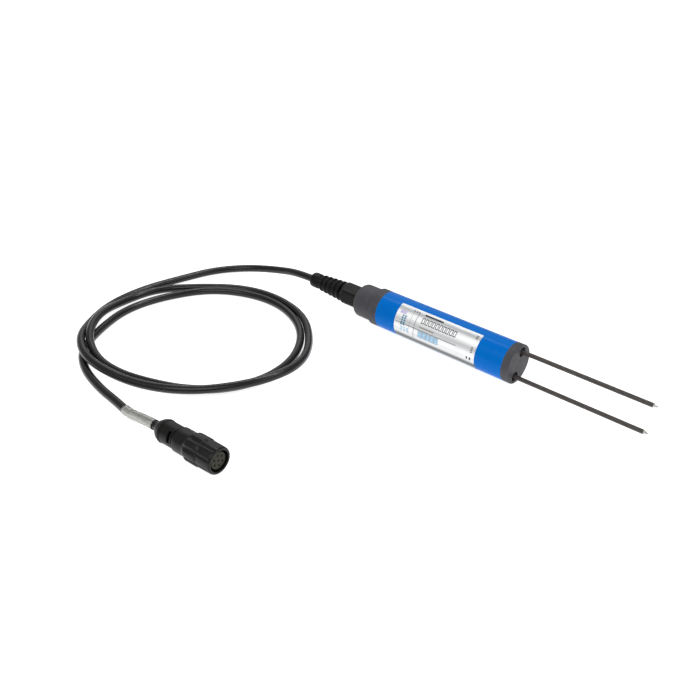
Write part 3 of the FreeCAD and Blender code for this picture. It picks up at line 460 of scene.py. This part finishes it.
def along_cable(begin_x, end_x):
    """Points of the cable's own curve on its last stretch, between two places along x, with its tangents."""
    line = show("route_sample", route_curve("route_sample"))
    mesh = bpy.data.meshes.new_from_object(line)
    points = np.empty(len(mesh.vertices) * 3)
    mesh.vertices.foreach_get("co", points)
    points = points.reshape(-1, 3)
    bpy.data.objects.remove(line)
    last = points[-400:]
    last = last[(last[:, 1] < -0.215) & (last[:, 0] > begin_x * MM - 0.002)
                & (last[:, 0] < end_x * MM + 0.002)]
    x = np.linspace(begin_x * MM, end_x * MM, 40)
    spine = np.stack([x, np.interp(x, last[:, 0], last[:, 1]), np.interp(x, last[:, 0], last[:, 2])], axis=-1)
    tangent = np.gradient(spine, axis=0)
    return spine, tangent / np.linalg.norm(tangent, axis=1, keepdims=True)


def sleeve(name, begin_x, end_x, outer_mm, inner_mm):
    """A tube wall along the cable: two circles' worth of points carried along it, the outer one forwards
    and the inner one back, each on the side and up directions square to the cable."""
    spine, tangent = along_cable(begin_x, end_x)
    side = np.cross(tangent, (0, 0, 1))
    side /= np.linalg.norm(side, axis=1, keepdims=True)
    up = np.cross(side, tangent)
    around = np.linspace(0, 2 * np.pi, SLEEVE_SIDES, endpoint=False)
    rings = [spine[:, None] + radius * MM * (np.cos(around)[None, :, None] * side[:, None]
                                             + np.sin(around)[None, :, None] * up[:, None])
             for radius in (outer_mm, inner_mm)]
    grid = np.concatenate([rings[0], rings[1][::-1], rings[0][:1]])
    mesh = surface(name, grid, wrap=True)
    # Its own UV map: u round the cable and v along it.
    layer = mesh.uv_layers.new(name="round_and_along")
    corners = np.empty(len(mesh.loops), dtype=int)
    mesh.loops.foreach_get("vertex_index", corners)
    uv = np.stack([(corners % SLEEVE_SIDES) / SLEEVE_SIDES, (corners // SLEEVE_SIDES) / len(grid)], axis=-1)
    layer.data.foreach_set("uv", uv.ravel())
    return weld(mesh)


# Rolled silver foil under its sleeve, with painted reflections: lengthwise light and dark bands painted by
# the angle round the cable.
silver = finish("rolled_silver_foil", "#b9bab4", 0.34, 0.3, 0.002, drawn=(20, 1, 1), Metallic=0.35)
tree = silver.node_tree
map_uv = add_node(tree, "UVMap", {"uv_map": "round_and_along"})
split = add_node(tree, "SeparateXYZ", {}, {"Vector": (map_uv, "UV")})
# Painted reflection bands round the roll, as (share of a turn, grey).
PAINTED_REFLECTION_ROLL = [(0.0, "#a9aaa5"), (0.1, "#dcdcd8"), (0.2, "#6d6f69"), (0.27, "#d0d1cb"), (0.36, "#7b7c77"),
        (0.5, "#b4b5af"), (0.7, "#8a8b85"), (1.0, "#a9aaa5")]
paint_bands(silver, split, "X", PAINTED_REFLECTION_ROLL)
marker = show("marker_foil", sleeve("marker_foil", -134.8, -98.2, 3.65, 3.38))
marker.data.materials.append(silver)
# Clear extruded PVC: a thin, slightly milky wall.
clear = finish("clear_extruded_pvc", "#f4f5f2", 0.12, 0.5, 0.006, drawn=(20, 1, 1), cloud=1.02, IOR=1.45,
               Transmission_Weight=0.9)
clear_sleeve = show("marker_clear_sleeve", sleeve("marker_clear_sleeve", -135.5, -97.5, 3.88, 3.72))
clear_sleeve.data.materials.append(clear)
for piece in (marker, clear_sleeve):
    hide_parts("marker_sleeve")


# --- Connector -------------------------------------------------------------------------------------------
# A round field connector: rear shell over the cable clamp, a body that carries the turning coupling ring,
# and an insert with seven sockets, six round one. Glass-filled nylon, a little greyer than the gland.

charcoal_nylon = finish("moulded_glass_filled_nylon", "#100f0e", 0.4, 0.4, 0.012, cloud=1.3, cloud_mm=4,
                        IOR=1.5, Specular_IOR_Level=0.2)
dress(charcoal_nylon, "plug_rear_shell", "plug_body")
dress(finish("moulded_grey_insert", "#37362f", 0.6, 0.3, 0.015, cloud=1.15, Specular_IOR_Level=0.15),
      "contact_insert")
dress(finish("gold_plated_contact", "#7d6d45", 0.4, 0.1, 0.003, drawn=(1, 8, 8), Metallic=0.9),
      "contact_sockets")

PLUG_START = np.array([-95.2, -225.1, 10.7]) * MM
PLUG_YAW = math.radians(3.4)


def on_plug(along, radius, angle):
    """Along the connector's axis in mm from its rear end, at that radius in mm and angle from level."""
    ahead = np.array([math.cos(PLUG_YAW), math.sin(PLUG_YAW), 0])
    beside = np.array([-math.sin(PLUG_YAW), math.cos(PLUG_YAW), 0])
    return (PLUG_START + along[..., None] * MM * ahead + (radius * np.cos(angle))[..., None] * MM * beside
            + (radius * np.sin(angle))[..., None] * MM * np.array([0, 0, 1.0]))


# The coupling ring: smooth behind, then eight rounded finger lobes, then a sleeve with eight grooves.
# At each place the radius is a base, less a valley that is deepest at eight angles round the ring:
# the valley's depth times a narrow bell round each of those angles.
RING_SIDES, GROOVE_PITCH, FIRST_GROOVE = 192, 45, 15
ring_turn = np.linspace(0, 2 * np.pi, RING_SIDES, endpoint=False)
from_groove = (np.degrees(ring_turn) - FIRST_GROOVE + GROOVE_PITCH / 2) % GROOVE_PITCH - GROOVE_PITCH / 2


def lobed(base, valley, width):
    """The radius over one turn: base less valley times a bell of that width, in degrees, at each groove."""
    return base - valley * np.exp(-(from_groove / width) ** 2)


ring_profile = [(24.2, 7.06), (24.2, 8.7), (24.5, 9.1), (25.2, 9.2), (30.0, 9.2), (33.5, 9.15)]
for share in np.linspace(0, 1, 9):
    ring_profile.append((34.9 + 3.0 * share,
                         lobed(9.2 + 1.35 * np.sin(share * np.pi / 2), 1.25 * share, 7.5)))
ring_profile += [(along, lobed(base, 1.3, 7.5)) for along, base in ((40, 10.58), (43, 10.6), (46, 10.58),
                                                                    (47.6, 10.5), (48.5, 10.2))]
ring_profile += [(along, lobed(base, valley, 5.0)) for along, base, valley in (
    (48.9, 9.75, 0.4), (49.2, 9.7, 0.45), (49.8, 10.05, 0.7), (51, 10.1, 0.8), (56, 10.05, 0.8),
    (58.6, 10.0, 0.7), (59.8, 9.95, 0.3), (60.6, 9.85, 0.05))]
ring_profile += [(61.1, 9.6), (61.45, 9.2), (61.6, 8.7), (61.6, 8.15), (61.4, 7.85), (61.0, 7.8), (37.6, 7.8),
                 (37.6, 7.06)]
ring = show("finger_coupling_ring", turned("finger_coupling_ring", ring_profile, on_plug, columns=RING_SIDES),
            body="ring")
ring.data.materials.append(finish("moulded_charcoal_nylon_ring", "#0e0d0d", 0.36, 0.35, 0.012, cloud=1.35,
                                  cloud_mm=4, IOR=1.5, Specular_IOR_Level=0.25))
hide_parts("coupling_ring")
